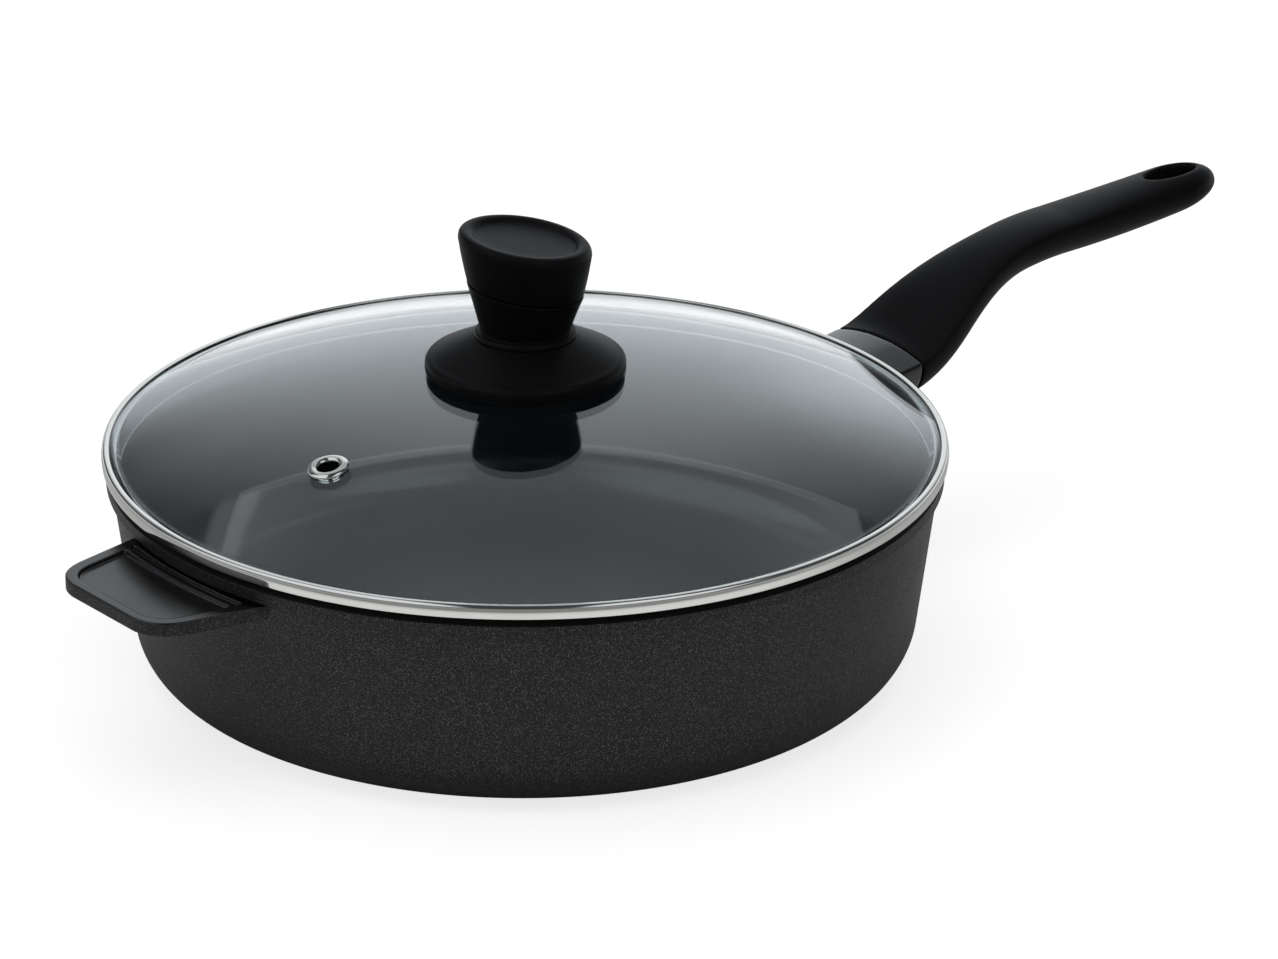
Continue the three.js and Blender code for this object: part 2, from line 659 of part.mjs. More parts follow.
function knobGasket() {
  return ring(screwHole, GASKET_DIAMETER / 2, washerTop, gasketTop, SMALL_SIDES);
}

function knobWasher() {
  return ring(screwHole, WASHER_DIAMETER / 2, headTop, washerTop, SMALL_SIDES);
}

function knobScrew() {
  const head = KNOB_HEAD_DIAMETER / 2;
  const shank = KNOB_SCREW_DIAMETER / 2;
  const path = new THREE.Path();
  path.moveTo(0, headTop - KNOB_HEAD_HEIGHT);
  path.quadraticCurveTo(head, headTop - KNOB_HEAD_HEIGHT, head, headTop);
  path.lineTo(shank, headTop);
  path.lineTo(shank, stemBottom + INSERT_LENGTH - FIT);
  path.lineTo(0, stemBottom + INSERT_LENGTH - FIT);
  return turned(path, SMALL_SIDES);
}

// Finishes
const castCoating = { color: 0x2b2c2e, roughness: 0.45, metalness: 0.2 };
const softTouch = { color: 0x161617, roughness: 0.55, metalness: 0 };
const steel = { color: 0xc9c9c4, roughness: 0.2, metalness: 1 };
const brass = { color: 0xb08d4a, roughness: 0.35, metalness: 1 };
const glass = { color: 0xcfd9da, roughness: 0.05, metalness: 0, transparent: true, opacity: 0.35 };
const silicone = { color: 0x3a3a3a, roughness: 0.8, metalness: 0 };

function piece(name, geometry, finish) {
  const mesh = new THREE.Mesh(geometry, new THREE.MeshStandardMaterial(finish));
  mesh.name = name;
  return mesh;
}

const pan = new THREE.Group();
pan.add(
  piece('pan_body', geometryOf(panBody()), castCoating),
  piece('long_handle', geometryOf(longHandle()), softTouch),
  piece('handle_screw', geometryOf(handleScrew()), steel),
);

const lid = new THREE.Group();
lid.add(
  piece('lid_glass', geometryOf(lidGlass()), glass),
  piece('lid_rim', lidRim(), steel),
  piece('vent_eyelet', ventEyelet(), steel),
  piece('knob_flange', knobFlange(), softTouch),
  piece('knob_stem', geometryOf(knobStem()), softTouch),
  piece('knob_cap', knobCap(), softTouch),
  piece('knob_insert', knobInsert(), brass),
  piece('knob_gasket', knobGasket(), silicone),
  piece('knob_washer', knobWasher(), steel),
  piece('knob_screw', knobScrew(), steel),
);

const fryingPan = new THREE.Group();
fryingPan.add(pan, lid);

export default fryingPan;
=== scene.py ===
"""Dresses the deep frying pan and its lid. Sizes are in millimetres unless a comment says otherwise."""

import math

import bmesh
import bpy
from mathutils import Matrix, Vector


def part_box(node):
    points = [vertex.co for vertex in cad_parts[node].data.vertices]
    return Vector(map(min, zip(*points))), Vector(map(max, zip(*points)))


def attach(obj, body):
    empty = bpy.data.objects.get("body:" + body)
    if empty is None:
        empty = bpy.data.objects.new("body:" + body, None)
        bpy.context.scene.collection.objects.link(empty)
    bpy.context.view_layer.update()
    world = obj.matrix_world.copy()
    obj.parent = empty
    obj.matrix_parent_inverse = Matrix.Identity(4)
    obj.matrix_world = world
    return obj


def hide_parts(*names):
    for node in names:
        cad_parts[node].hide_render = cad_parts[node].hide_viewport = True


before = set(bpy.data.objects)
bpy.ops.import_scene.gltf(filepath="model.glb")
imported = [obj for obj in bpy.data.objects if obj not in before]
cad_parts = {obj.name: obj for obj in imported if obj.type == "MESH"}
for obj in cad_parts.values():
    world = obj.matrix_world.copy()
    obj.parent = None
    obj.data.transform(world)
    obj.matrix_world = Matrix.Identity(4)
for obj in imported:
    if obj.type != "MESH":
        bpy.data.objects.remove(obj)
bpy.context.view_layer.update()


# Pan shell
# One aluminium casting, turned true at the lip. Outside it has a sprayed black coat full of grey flakes,
# inside a smoother non-stick coat. A light metal ring on the edge of the step for the lid's skirt is a
# painted highlight.
MM = 0.001


class Wire:
    """One output of a node in a material. A sum on it adds Math nodes."""

    def __init__(self, socket):
        self.socket = socket

    def node(self, kind, settings, inputs, output=0):
        """Adds a node to the same material and gives back one of its outputs."""
        tree = self.socket.id_data
        added = tree.nodes.new(kind)
        for name, value in settings.items():
            setattr(added, name, value)
        for name, value in inputs.items():
            if isinstance(value, Wire):
                tree.links.new(value.socket, added.inputs[name])
            else:
                added.inputs[name].default_value = value
        return Wire(added.outputs[output]) if added.outputs else None

    def math(self, operation, first, second):
        """Adds one Math node."""
        return self.node("ShaderNodeMath", {"operation": operation}, {0: first, 1: second})

    def __add__(self, other):
        return self.math("ADD", self, other)

    def __radd__(self, other):
        return self.math("ADD", other, self)

    def __sub__(self, other):
        return self.math("SUBTRACT", self, other)

    def __rsub__(self, other):
        return self.math("SUBTRACT", other, self)

    def __mul__(self, other):
        return self.math("MULTIPLY", self, other)

    def __rmul__(self, other):
        return self.math("MULTIPLY", other, self)


def new_finish(name):
    """An empty material, and a wire with the place on the piece in metres."""
    material = bpy.data.materials.new(name)
    material.use_nodes = True
    material.node_tree.nodes.clear()
    place = material.node_tree.nodes.new("ShaderNodeTexCoord")
    return material, Wire(place.outputs["Object"])


def askew(place):
    """The place in a turned grid, since a noise draws its grid as rings on a wall that is square to it."""
    turn = (0.785, 0.615, 0.3)
    return place.node(
        "ShaderNodeVectorRotate", {"rotation_type": "EULER_XYZ"}, {"Vector": place, "Rotation": turn}
    )


def noise(place, grain, detail=2):
    """Even cloudy noise from 0 to 1 with a grain of that many millimetres."""
    return place.node(
        "ShaderNodeTexNoise", {}, {"Vector": askew(place), "Scale": 1 / (grain * MM), "Detail": detail}
    )


def ramp(value, start, end, low=0, high=1):
    """Goes smoothly from low to high while the value goes from start to end."""
    return value.node(
        "ShaderNodeMapRange",
        {"interpolation_type": "SMOOTHSTEP"},
        {"Value": value, "From Min": start, "From Max": end, "To Min": low, "To Max": high},
    )


def flakes(place, spacing, size, share):
    """Mask of round flakes of a size in millimetres, in a share of the cells of that spacing."""
    cells = {"Vector": askew(place), "Scale": 1 / (spacing * MM)}
    distance = place.node("ShaderNodeTexVoronoi", {}, cells)
    colour = place.node("ShaderNodeTexVoronoi", {}, cells, "Color")
    chance = place.node("ShaderNodeSeparateColor", {}, {"Color": colour})
    dots = ramp(distance, size / spacing, 0.4 * size / spacing)
    return dots * ramp(chance, 1 - share, 1 - 0.8 * share)


def tint(mask, first, second):
    """Colour that is the first one where the mask is 0 and the second where it is 1."""
    return mask.node(
        "ShaderNodeMix", {"data_type": "RGBA"}, {0: mask, 6: (*first, 1), 7: (*second, 1)}, 2
    )


def bump(height, depth, strength=1):
    """Normal of a surface with bumps of that depth in millimetres."""
    return height.node(
        "ShaderNodeBump", {}, {"Height": height, "Distance": depth * MM, "Strength": strength}
    )


def surface(place, inputs):
    """Ends a material with one Principled shader."""
    skin = place.node("ShaderNodeBsdfPrincipled", {}, inputs)
    place.node("ShaderNodeOutputMaterial", {}, {"Surface": skin})


def dress(piece, *finishes):
    """Gives a piece its materials, in place of any that came with its mesh."""
    piece.data.materials.clear()
    for finish in finishes:
        piece.data.materials.append(finish)


def rounded(corners):
    """Points of a closed outline. A corner is (across, up) or (across, up, rounding)."""
    points = []
    for i, corner in enumerate(corners):
        here = Vector(corner[:2])
        if len(corner) == 2:
            points.append(here)
            continue
        radius = corner[2]
        before = (Vector(corners[i - 1][:2]) - here).normalized()
        after = (Vector(corners[(i + 1) % len(corners)][:2]) - here).normalized()
        half = before.angle(after) / 2
        centre = here + (before + after).normalized() * radius / math.sin(half)
        start = here + before * radius / math.tan(half) - centre
        end = here + after * radius / math.tan(half) - centre
        turn = math.atan2(start.x * end.y - start.y * end.x, start.dot(end))
        steps = max(5, math.ceil(abs(turn) * radius))
        for step in range(steps + 1):
            points.append(centre + Matrix.Rotation(turn * step / steps, 2) @ start)
    return points


def steadied(points, margin=0.3):
    """The outline with points close to both ends of each long straight, which keep it flat when shaded."""
    kept = []
    for point, after in zip(points, points[1:] + points[:1]):
        kept.append(point)
        stretch = after - point
        if stretch.length > 5 * margin:
            step = stretch.normalized() * margin
            kept += [point + step, after - step]
    return kept


def new_piece(name, shape):
    """Object of a bmesh drawn in millimetres, shaded smooth."""
    bmesh.ops.recalc_face_normals(shape, faces=shape.faces)
    bmesh.ops.scale(shape, vec=(MM, MM, MM), verts=shape.verts)
    mesh = bpy.data.meshes.new(name)
    shape.to_mesh(mesh)
    shape.free()
    mesh.shade_smooth()
    piece = bpy.data.objects.new(name, mesh)
    bpy.context.scene.collection.objects.link(piece)
    return piece


def turned(profile, sides=256):
    """Solid of a closed profile of (radius, height) turned about Z."""
    shape = bmesh.new()
    turns = [2 * math.pi * i / sides for i in range(sides)]
    rings = []
    for radius, height in profile:
        if radius < 1e-6:
            rings.append([shape.verts.new((0, 0, height))] * sides)
            continue
        rings.append([
            shape.verts.new((radius * math.cos(turn), radius * math.sin(turn), height)) for turn in turns
        ])
    for ring, after in zip(rings, rings[1:] + rings[:1]):
        for i in range(sides):
            corners = [ring[i - 1], ring[i], after[i], after[i - 1]]
            different = list(dict.fromkeys(corners))
            if len(different) > 2:
                shape.faces.new(different)
    return shape


rim_radius = 141.8
wall = 4.0
draft_angle = math.radians(7.1)
draft = math.tan(draft_angle)
floor_thick = 5.0
foot_rounding = 18.4
floor_rounding = 15
edge_rounding = 0.3
ledge_rounding = 0.6
lip_base = 66.3
lip_radius = 143.7
lip_bevel = 71.2
lip_bevel_width = 2.7
lip_top = 73.8
seat_radius = 139.6
ledge = 68.3
slope_rise = 0.95  # of the lip's underside and of the ledge
inside_shift = wall / math.cos(draft_angle)
outside_foot = rim_radius - lip_base * draft
inside_foot = rim_radius - inside_shift - (lip_base - floor_thick) * draft
inside_ledge = rim_radius - inside_shift + (ledge - lip_base) * draft
pan_shell = new_piece("pan_shell", turned(steadied(rounded([
    (0, 0),
    (outside_foot, 0, foot_rounding),
    (rim_radius, lip_base, edge_rounding),
    (lip_radius, lip_base + slope_rise, edge_rounding),
    (lip_radius, lip_bevel, edge_rounding),
    (lip_radius - lip_bevel_width, lip_top, edge_rounding),
    (seat_radius, lip_top, edge_rounding),
    (seat_radius, ledge + slope_rise, edge_rounding),
    (inside_ledge, ledge, ledge_rounding),
    (inside_foot, floor_thick, floor_rounding),
    (0, floor_thick),
]))))

coat, place = new_finish("flaked_coat")
cloud = noise(place, 14)
spray = noise(place, 0.4, 3)
coarse = flakes(place, 0.7, 0.28, 0.45)
fine = flakes(place, 0.4, 0.17, 0.6)
speckle = 0.2 * ramp(spray, 0.45, 0.75) + 0.45 * coarse + 0.6 * fine
surface(place, {
    "Base Color": tint(speckle, (0.0030, 0.0030, 0.0034), (0.20, 0.202, 0.212)),
    "Metallic": ramp(speckle, 0.0, 0.35, 0, 0.95),
    "Roughness": 0.4 + 0.1 * cloud - 0.1 * coarse,
    "Specular IOR Level": 0.25,
    "Normal": bump(spray + 0.4 * cloud, 0.035, 0.6),
})

inner_coat, place = new_finish("non_stick_coat")
cloud = noise(place, 22)
grain = noise(place, 1.2, 3)
surface(place, {
    "Base Color": tint(grain, (0.0030, 0.0038, 0.0046), (0.0060, 0.0070, 0.0080)),
    "Roughness": 0.19 + 0.05 * cloud + 0.03 * grain,
    "IOR": 1.65,
    "Normal": bump(cloud, 0.02, 0.5),
})

# A darker, duller coat on the lip's bevel and top under the lid's band: painted shade where the band
# overhangs
bevel_shade, place = new_finish("painted_shade_coat")
cloud = noise(place, 18)
grain = noise(place, 0.3, 3)
surface(place, {
    "Base Color": tint(cloud, (0.0015, 0.0015, 0.0017), (0.0025, 0.0025, 0.0028)),
    "Roughness": 0.5 + 0.1 * grain,
    "Specular IOR Level": 0.1,
    "Normal": bump(grain, 0.01, 0.5),
})

# A light metal ring round the ledge's edge: a painted highlight
painted_highlight_ring, place = new_finish("painted_highlight_ring")
cloud = noise(place, 6)
surface(place, {
    "Base Color": tint(cloud, (0.68, 0.68, 0.67), (0.78, 0.78, 0.77)),
    "Metallic": 0.5,
    "Roughness": 0.3 + 0.1 * cloud,
})

shell_finishes = [coat, inner_coat, bevel_shade, painted_highlight_ring]
dress(pan_shell, *shell_finishes)
# Reach and depth of the painted highlight ring round the ledge's edge
highlight_reach = 0.9
highlight_depth = 0.5
seat_margin = 0.2
bevel_margin = 0.15
for face in pan_shell.data.polygons:
    across = face.center.xy.length / MM
    up = face.center.z / MM
    outward = face.normal.xy.dot(face.center.xy) / MM
    if abs(across - inside_ledge) < highlight_reach and abs(up - ledge) < highlight_depth:
        finish = painted_highlight_ring
    elif up > ledge and across > seat_radius + seat_margin:
        # the bevel and top of the lip, under the band, take the painted shade
        finish = bevel_shade if up > lip_bevel + bevel_margin else coat
    else:
        inside = face.normal.z > 0.01 or outward < -1
        finish = inner_coat if inside else coat
    face.material_index = shell_finishes.index(finish)
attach(pan_shell, "pan")
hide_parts("pan_body")


# Helper tab
# Cast in one with the wall, right under the lip: a plate with a raised border round a shallow tray, and a
# bowed rib along the wall. The top is rubbed smooth and satin, the sides keep the flaked coat.
def slab(name, outline, bottom, top):
    """Piece of a flat outline raised between two heights."""
    shape = bmesh.new()
    corners = [shape.verts.new((point[0], point[1], bottom)) for point in outline]
    face = shape.faces.new(corners)
    raised = bmesh.ops.extrude_face_region(shape, geom=[face])["geom"]
    lifted = [part for part in raised if isinstance(part, bmesh.types.BMVert)]
    bmesh.ops.translate(shape, verts=lifted, vec=(0, 0, top - bottom))
    return new_piece(name, shape)


def settle(piece):
    """Turns a piece's modifiers into plain mesh."""
    graph = bpy.context.evaluated_depsgraph_get()
    mesh = bpy.data.meshes.new_from_object(piece.evaluated_get(graph))
    piece.modifiers.clear()
    piece.data = mesh
    return piece


def combine(piece, tool, operation):
    """Cuts the tool out of the piece, or joins it on, and removes the tool."""
    joint = piece.modifiers.new("joint", "BOOLEAN")
    joint.operation = operation
    joint.object = tool
    joint.solver = "EXACT"
    settle(piece)
    bpy.data.objects.remove(tool)
    return piece


def remoulded(piece, grain, passes):
    """Remeshes a piece in even small faces and smooths them, which rounds its edges."""
    even = piece.modifiers.new("even", "REMESH")
    even.mode = "VOXEL"
    even.voxel_size = grain * MM
    smooth = piece.modifiers.new("smooth", "SMOOTH")
    smooth.factor = 0.5
    smooth.iterations = passes
    settle(piece)
    piece.data.shade_smooth()
    return piece


def bow(first, middle, last, steps=24):
    """Points along a quadratic curve."""
    points = []
    for step in range(steps + 1):
        t = step / steps
        points.append([
            (1 - t) ** 2 * a + 2 * t * (1 - t) * b + t ** 2 * c for a, b, c in zip(first, middle, last)
        ])
    return points


root_radius = 140.6
tab_length = 31.9
tab_root_x = -137.8
tab_end_x = -lip_radius - tab_length
tab_root = 36.8
tab_end = 28.4
tab_corner = 13.0
tab_top = 66.0
tab_bottom = 61.2
tab_border = 4.0
tab_bow = 2.7
tray_floor = 64.7
rear_face = 0.0  # how far in front of the lip, as the next two
groove_face = 1.5
rib_face = 4.1
rib_foot = tab_bottom + 1
rib_inset = 2.2
rib_half = tab_root - tab_border - rib_inset


def wall_root(half, steps=24):
    """Points along the inside of the wall, from one side of the tab to the other."""
    points = []
    for step in range(steps + 1):
        across = half * (2 * step / steps - 1)
        points.append((-math.sqrt(root_radius ** 2 - across ** 2), across))
    return points


def tab_side(inset, side_x):
    """Half width of the tab at a place along it."""
    slope = (tab_root - tab_end) / (tab_root_x - tab_end_x)
    return tab_end - inset + slope * (side_x - tab_end_x - inset)


def tab_nose(inset):
    """Points round the free end of the tab, from its left side to its right."""
    end_x = tab_end_x + inset
    corner = tab_corner - inset
    half = tab_end - inset
    wide = tab_side(inset, end_x + corner)
    left = bow((end_x + corner, wide), (end_x, half), (end_x, half - corner))
    return left + [[x, -y] for x, y in reversed(left)]


def wall_face(stand_off, half):
    """Points along a bowed face in front of the lip, from its left end to its right."""
    middle = -lip_radius - stand_off
    end = middle + tab_bow * (half / tab_root) ** 2
    return bow((end, half), (2 * middle - end, 0), (end, -half))


tray_half = tab_side(tab_border, -lip_radius)
tray_outline = tab_nose(tab_border) + wall_face(rear_face, tray_half)[::-1]
rib_outline = wall_face(rib_face, rib_half) + wall_face(groove_face, rib_half)[::-1]
helper_tab = slab("helper_tab", tab_nose(0) + wall_root(tab_root), tab_bottom, tab_top)
combine(helper_tab, slab("tray", tray_outline, tray_floor, lip_base), "DIFFERENCE")
combine(helper_tab, slab("rib", rib_outline, rib_foot, tab_top), "UNION")
remoulded(helper_tab, grain=0.35, passes=5)

satin, place = new_finish("satin_coat")
cloud = noise(place, 18)
grain = noise(place, 0.35, 3)
surface(place, {
    "Base Color": tint(grain, (0.002, 0.002, 0.0023), (0.004, 0.004, 0.0045)),
    "Roughness": 0.2 + 0.08 * cloud,
    "Normal": bump(grain, 0.005, 0.5),
})
tab_finishes = [coat, satin]
dress(helper_tab, *tab_finishes)
for face in helper_tab.data.polygons:
    finish = satin if face.normal.z > 0.3 else coat
    face.material_index = tab_finishes.index(finish)
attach(helper_tab, "pan")


# Handle boss
# Cast in one with the wall as well. It carries the long handle's section on to the wall, so that handle and
# boss read as one sweep, parted by a thin dark joint. It is polished before coating, so that it shines.
def boat_section(half, crown, belly, softness, points=96):
    """Section of boss and handle as (across, up): a low crown over a deeper belly."""
    crown_power = 2 - softness
    belly_power = 0.76 + 0.24 * softness
    section = []
    for i in range(points):
        turn = 2 * math.pi * i / points
        across, up = math.cos(turn), math.sin(turn)
        if up >= 0:
            section.append((half * across, crown * up ** crown_power))
        else:
            section.append((
                math.copysign(half * abs(across) ** belly_power, across), -belly * abs(up) ** belly_power
            ))
    return section


def loft(rings):
    """Closed solid over rings of points."""
    shape = bmesh.new()
    rows = [[shape.verts.new(point) for point in ring] for ring in rings]
    for row, after in zip(rows, rows[1:]):
        for i in range(len(row)):
            shape.faces.new([row[i - 1], row[i], after[i], after[i - 1]])
    shape.faces.new(rows[0])
    shape.faces.new(rows[-1])
    return shape


joint_x = 165.0
joint_edge = 71.4  # height of the section's widest line, as every edge of boss and handle
root_half = 23.0
root_crown = 3.5
root_belly = 16.5
boss_inner_x = 132
boss_pitch = math.tan(math.radians(8))
boss_rings = []
for x in (boss_inner_x, joint_x):
    edge = joint_edge - (joint_x - x) * boss_pitch
    outline = boat_section(root_half, root_crown, root_belly, 0)
    boss_rings.append([(x, across, edge + up) for across, up in outline])
handle_boss = remoulded(new_piece("handle_boss", loft(boss_rings)), grain=0.35, passes=60)

# The core cuts the boss off inside the wall
core_bottom = 40
core_top = 80
boss_depth = 2
core_foot = rim_radius - boss_depth + (core_bottom - lip_base) * draft
core_head = rim_radius - boss_depth + (core_top - lip_base) * draft
core = new_piece("core", turned([
    (0, core_bottom), (core_foot, core_bottom), (core_head, core_top), (0, core_top),
], sides=144))
combine(handle_boss, core, "DIFFERENCE")

gloss, place = new_finish("gloss_coat")
cloud = noise(place, 12)
grain = noise(place, 0.4, 2)
surface(place, {
    "Base Color": tint(cloud, (0.002, 0.0021, 0.0025), (0.004, 0.0042, 0.005)),
    "Roughness": 0.17 + 0.06 * cloud,
    "IOR": 1.68,
    "Normal": bump(grain, 0.003, 0.4),
})
dress(handle_boss, gloss)
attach(handle_boss, "pan")


# Long handle
# One moulding in black soft-touch plastic over the casting's tongue: a sloping neck, a level grip, and a
# rounded tip with an oval hanging hole. A screw from below holds it.
def smoothstep(value, start, end):
    """Share from 0 to 1, eased at both ends, of the way from start to end."""
    share = min(1, max(0, (value - start) / (end - start)))
    return share * share * (3 - 2 * share)


def mix(first, second, share):
    """Value at a share of the way from the first to the second."""
    return first + (second - first) * share


handle_start = 165.3
handle_tip = 332.8
neck_length = 88.5
neck_end = handle_start + neck_length
neck_rise = 29
root_arm = 15.8
grip_arm = 56.7
taper_length = 63.7
grip_edge = joint_edge + neck_rise
grip_half = 12.8
grip_crown = 3.4
grip_belly = 13
tip_length = 22
tip_start = handle_tip - tip_length
tip_crown = 7.9
tip_belly = 7.1
tip_narrowest = 0.08
neck_steps = 48
grip_steps = 24
tip_steps = 31
neck = [
    Vector((handle_start, joint_edge)),
    Vector((handle_start + root_arm, joint_edge + root_arm * boss_pitch)),
    Vector((neck_end - grip_arm, grip_edge)),
    Vector((neck_end, grip_edge)),
]
legs = [after - point for point, after in zip(neck, neck[1:])]
handle_rings = []
for step in range(neck_steps):
    t = step / neck_steps
    weights = ((1 - t) ** 3, 3 * t * (1 - t) ** 2, 3 * t ** 2 * (1 - t), t ** 3)
    x, edge = sum((point * weight for point, weight in zip(neck, weights)), Vector((0, 0)))
    run, rise = legs[0] * (1 - t) ** 2 + legs[1] * 2 * t * (1 - t) + legs[2] * t ** 2
    tilt = math.atan2(rise, run) * smoothstep(t, 0, 0.4)
    taper = smoothstep(x, handle_start, handle_start + taper_length)
    half = mix(root_half, grip_half, taper)
    high = mix(root_crown, grip_crown, taper)
    deep = mix(root_belly, grip_belly, taper)
    handle_rings.append([
        (x - up * math.sin(tilt), across, edge + up * math.cos(tilt))
        for across, up in boat_section(half, high, deep, taper)
    ])
for step in range(grip_steps + tip_steps + 1):
    turn = max(0, step - grip_steps) / tip_steps * math.pi / 2
    x = mix(neck_end, tip_start, min(step, grip_steps) / grip_steps) + tip_length * math.sin(turn)
    along = (x - neck_end) / (handle_tip - neck_end)
    narrow = max(tip_narrowest, math.cos(turn))
    thin = narrow ** 0.8
    high = mix(grip_crown, tip_crown, along) * thin
    deep = mix(grip_belly, tip_belly, along ** 2) * thin
    outline = boat_section(grip_half * narrow, high, deep, 1)
    handle_rings.append([(x, across, grip_edge + up) for across, up in outline])
long_handle = new_piece("long_handle_skin", loft(handle_rings))

hole_half_length = 12.5
hole_half_width = 4.8
hole_margin = 8.7
hole_x = handle_tip - hole_margin - hole_half_length
hole_sides = 64
hole_widening = (  # height over the grip's edge, and how far the hole flares there
    (-24, 6), (-10.4, 1.6), (-9.4, 0.5), (-8, 0), (4.4, 0), (5.4, 0.4), (6.2, 1.3), (6.8, 3), (16, 8),
)
hole_rings = []
for up, flare in hole_widening:
    ring = []
    for i in range(hole_sides):
        turn = 2 * math.pi * i / hole_sides
        x = hole_x + (hole_half_length + flare) * math.cos(turn)
        ring.append((x, (hole_half_width + flare) * math.sin(turn), grip_edge + up))
    hole_rings.append(ring)
combine(long_handle, new_piece("hole", loft(hole_rings)), "DIFFERENCE")

# The screw's axis stands square to the tongue, which climbs at 30 degrees inside the handle
tongue_drop = 8.2
tongue_pitch = math.radians(30)
screw_reach = 18
screw_axis = (
    Matrix.Translation((joint_x * MM, 0, (joint_edge - tongue_drop) * MM))
    @ Matrix.Rotation(-tongue_pitch, 4, "Y")
    @ Matrix.Translation((screw_reach * MM, 0, 0))
)
recess_radius = 4.3
recess_bottom = -24
recess_top = -4.9
recess = new_piece("recess", turned(rounded([
    (0, recess_bottom), (recess_radius, recess_bottom), (recess_radius, recess_top, 0.3), (0, recess_top),
]), sides=48))
recess.data.transform(screw_axis)
combine(long_handle, recess, "DIFFERENCE")
remoulded(long_handle, grain=0.5, passes=10)
lowest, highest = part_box("long_handle")
for vertex in long_handle.data.vertices:
    vertex.co = Vector(max(a, min(b, c)) for a, b, c in zip(lowest, highest, vertex.co))

soft_touch, place = new_finish("soft_touch")
cloud = noise(place, 30)
grain = noise(place, 0.28, 3)
surface(place, {
    "Base Color": tint(cloud, (0.0026, 0.0026, 0.0030), (0.0040, 0.0040, 0.0045)),
    "Roughness": 0.36 + 0.06 * cloud + 0.05 * grain,
    "Specular IOR Level": 0.065,
    "Normal": bump(grain, 0.012, 0.5),
})
dress(long_handle, soft_touch)
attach(long_handle, "pan")
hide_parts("long_handle")


# Handle screw
# Plated steel pan-head screw, driven from below through the handle into the tongue. Only its head with the
# cross recess shows, at the bottom of its hole.
def cross_recess(bottom, depth, reach, width):
    """Tool that cuts a screwdriver cross upwards into a head."""
    arms = []
    for long, wide in ((reach / 2, width / 2), (width / 2, reach / 2)):
        outline = [(-long, -wide), (long, -wide), (long, wide), (-long, wide)]
        arms.append(slab("cross", outline, bottom, bottom + depth))
    return combine(arms[0], arms[1], "UNION")


screw_head_top = -5.2
screw_head_bottom = screw_head_top - 2.4
screw_head = 4
screw_shank = 2
screw_end = 2.7
handle_screw = new_piece("handle_screw_skin", turned(steadied(rounded([
    (0, screw_head_bottom),
    (screw_head, screw_head_bottom, 1.3),
    (screw_head, screw_head_top, 0.2),
    (screw_shank, screw_head_top, 0.2),
    (screw_shank, screw_end, 0.5),
    (0, screw_end),
])), sides=64))
combine(handle_screw, cross_recess(screw_head_top - 3, depth=1.9, reach=4.2, width=0.9), "DIFFERENCE")
handle_screw.data.transform(screw_axis)
handle_screw.data.set_sharp_from_angle(angle=math.radians(40))

screw_steel, place = new_finish("screw_steel")
cloud = noise(place, 3)
scratches = noise(place, 0.2, 4)
surface(place, {
    "Base Color": tint(cloud, (0.50, 0.50, 0.48), (0.62, 0.61, 0.59)),
    "Metallic": 1,
    "Roughness": 0.24 + 0.16 * scratches,
    "Normal": bump(scratches, 0.004, 0.5),
})
dress(handle_screw, screw_steel)
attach(handle_screw, "pan")
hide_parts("handle_screw")


# Lid glass
# Toughened glass, sagged over a mould into a shallow dome, with a ground edge inside the steel band. It has
# a hole in the middle for the knob's screw and one for the vent.
lid_bottom = 74.1
glass_bottom = 74.9
glass_radius = 144.2
glass_thick = 4.0
dome_radius = 402.744
dome_centre = -298.644
screw_hole = 2.8
vent_turn = math.radians(186.4)
vent_reach = 92
vent_hole = 4.7


def dome(radius, sink=0):
    """Height of the glass's upper face, or of a face sunk below it, at a distance from the axis."""
    return dome_centre + math.sqrt((dome_radius - sink) ** 2 - radius ** 2)


def spread(start, end, steps=72):
    """Even values from start to end."""
    return [start + (end - start) * i / steps for i in range(steps + 1)]


def ray_is(place, kind):
    """Mask that is 1 for rays of one kind."""
    return place.node("ShaderNodeLightPath", {}, {}, f"Is {kind} Ray")


glass_reach = math.sqrt((dome_radius - glass_thick) ** 2 - (glass_bottom - dome_centre) ** 2)
upper = [(radius, dome(radius)) for radius in spread(screw_hole, glass_radius)]
lower = [(radius, dome(radius, glass_thick)) for radius in spread(screw_hole, glass_reach)]
glass_profile = upper + [(glass_radius, glass_bottom)] + lower[::-1]
lid_glass = new_piece("lid_glass_dome", turned(glass_profile, sides=288))
vent_axis = (
    Matrix.Translation((0, 0, dome_centre * MM))
    @ Matrix.Rotation(vent_turn, 4, "Z")
    @ Matrix.Rotation(math.asin(vent_reach / dome_radius), 4, "Y")
    @ Matrix.Translation((0, 0, dome_radius * MM))
)
vent_bore = new_piece("vent_bore", turned([
    (0, -2 * glass_thick), (vent_hole, -2 * glass_thick), (vent_hole, glass_thick), (0, glass_thick),
], sides=64))
vent_bore.data.transform(vent_axis)
combine(lid_glass, vent_bore, "DIFFERENCE")
lid_glass.data.shade_smooth()
lid_glass.data.set_sharp_from_angle(angle=math.radians(30))

glass, place = new_finish("clear_glass")
smears = noise(place, 40, 3)
clear = place.node("ShaderNodeBsdfPrincipled", {}, {
    "Base Color": (0.90, 0.95, 0.975, 1),
    "Roughness": ramp(smears, 0.45, 0.75, 0, 0.025),
    "IOR": 1.5,
    "Transmission Weight": 1,
})
open_way = place.node("ShaderNodeBsdfTransparent", {}, {"Color": (0.80, 0.86, 0.89, 1)})
lit_glass = place.node("ShaderNodeMixShader", {}, {0: ray_is(place, "Shadow"), 1: clear, 2: open_way})
place.node("ShaderNodeOutputMaterial", {}, {"Surface": lit_glass})
dress(lid_glass, glass)
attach(lid_glass, "lid")
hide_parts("lid_glass")


